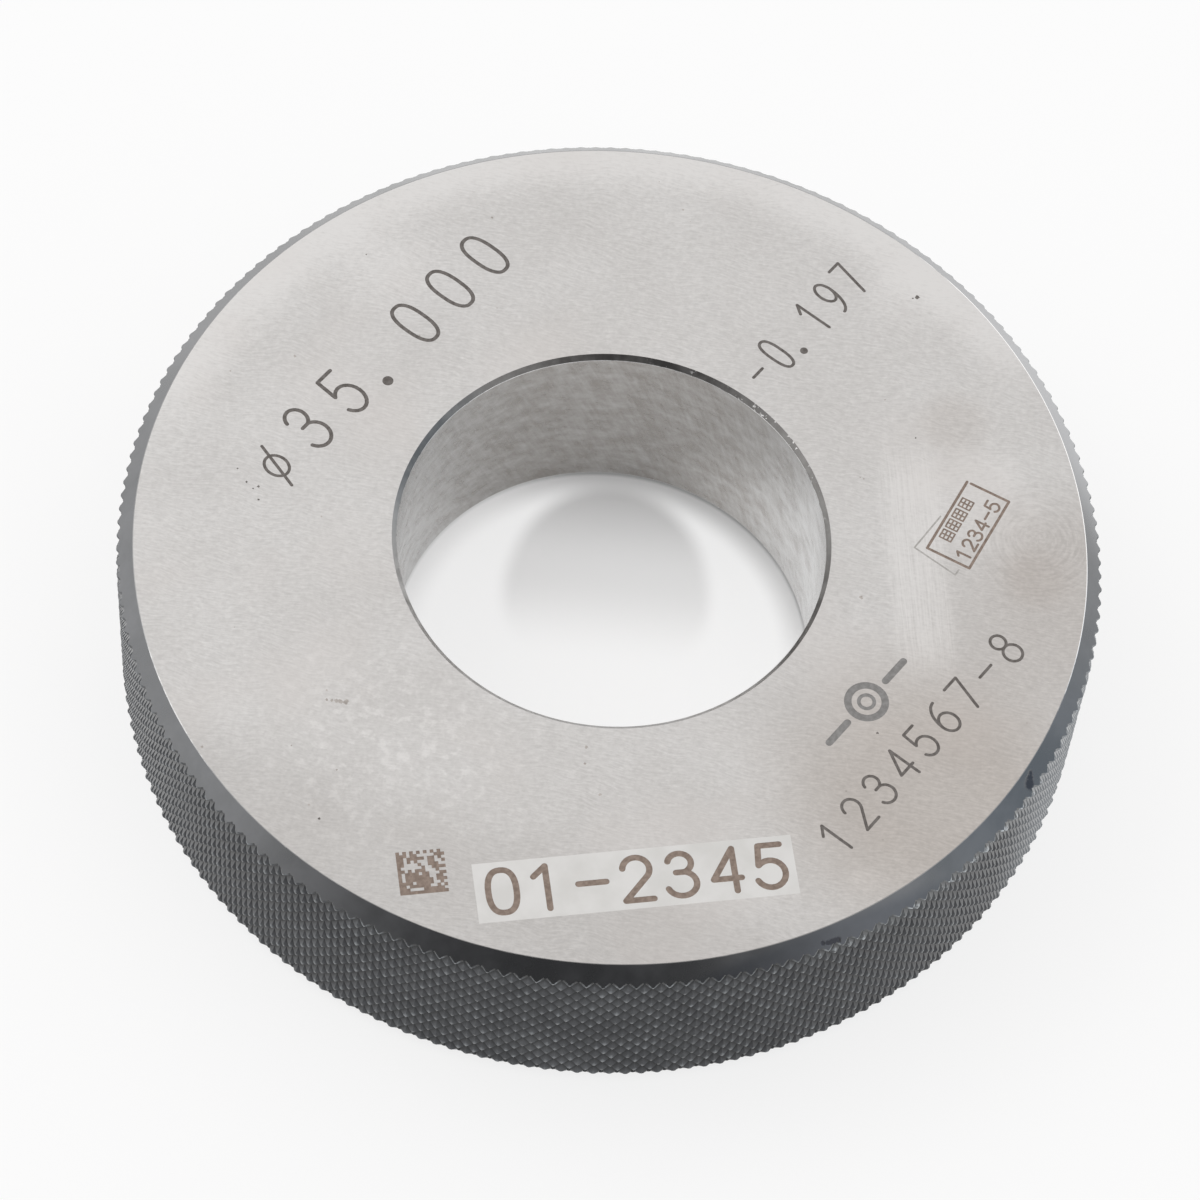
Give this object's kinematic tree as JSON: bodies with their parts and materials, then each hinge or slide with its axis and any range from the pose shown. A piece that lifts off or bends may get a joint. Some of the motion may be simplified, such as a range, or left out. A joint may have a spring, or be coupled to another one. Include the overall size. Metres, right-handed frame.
{
  "type": "setting ring gauge",
  "caption": "Plain steel setting ring gauge with a lapped through bore, two flat ground faces, chamfered edges and a blackened rim with a diamond knurl.",
  "frame": {"origin": "on the bore's axis, at the lower face that the ring rests on", "axes": "+Z runs along the bore, out of the marked upper face; the markings on that face read along +X"},
  "size_m": [0.08, 0.08, 0.018],
  "materials": {
    "ring_steel": "hardened steel, ground faces, lapped bore, black oxide left on the chamfers and the knurled rim"
  },
  "bodies": {
    "root": {"setting_ring": "ring_steel"}
  },
  "joints": []
}
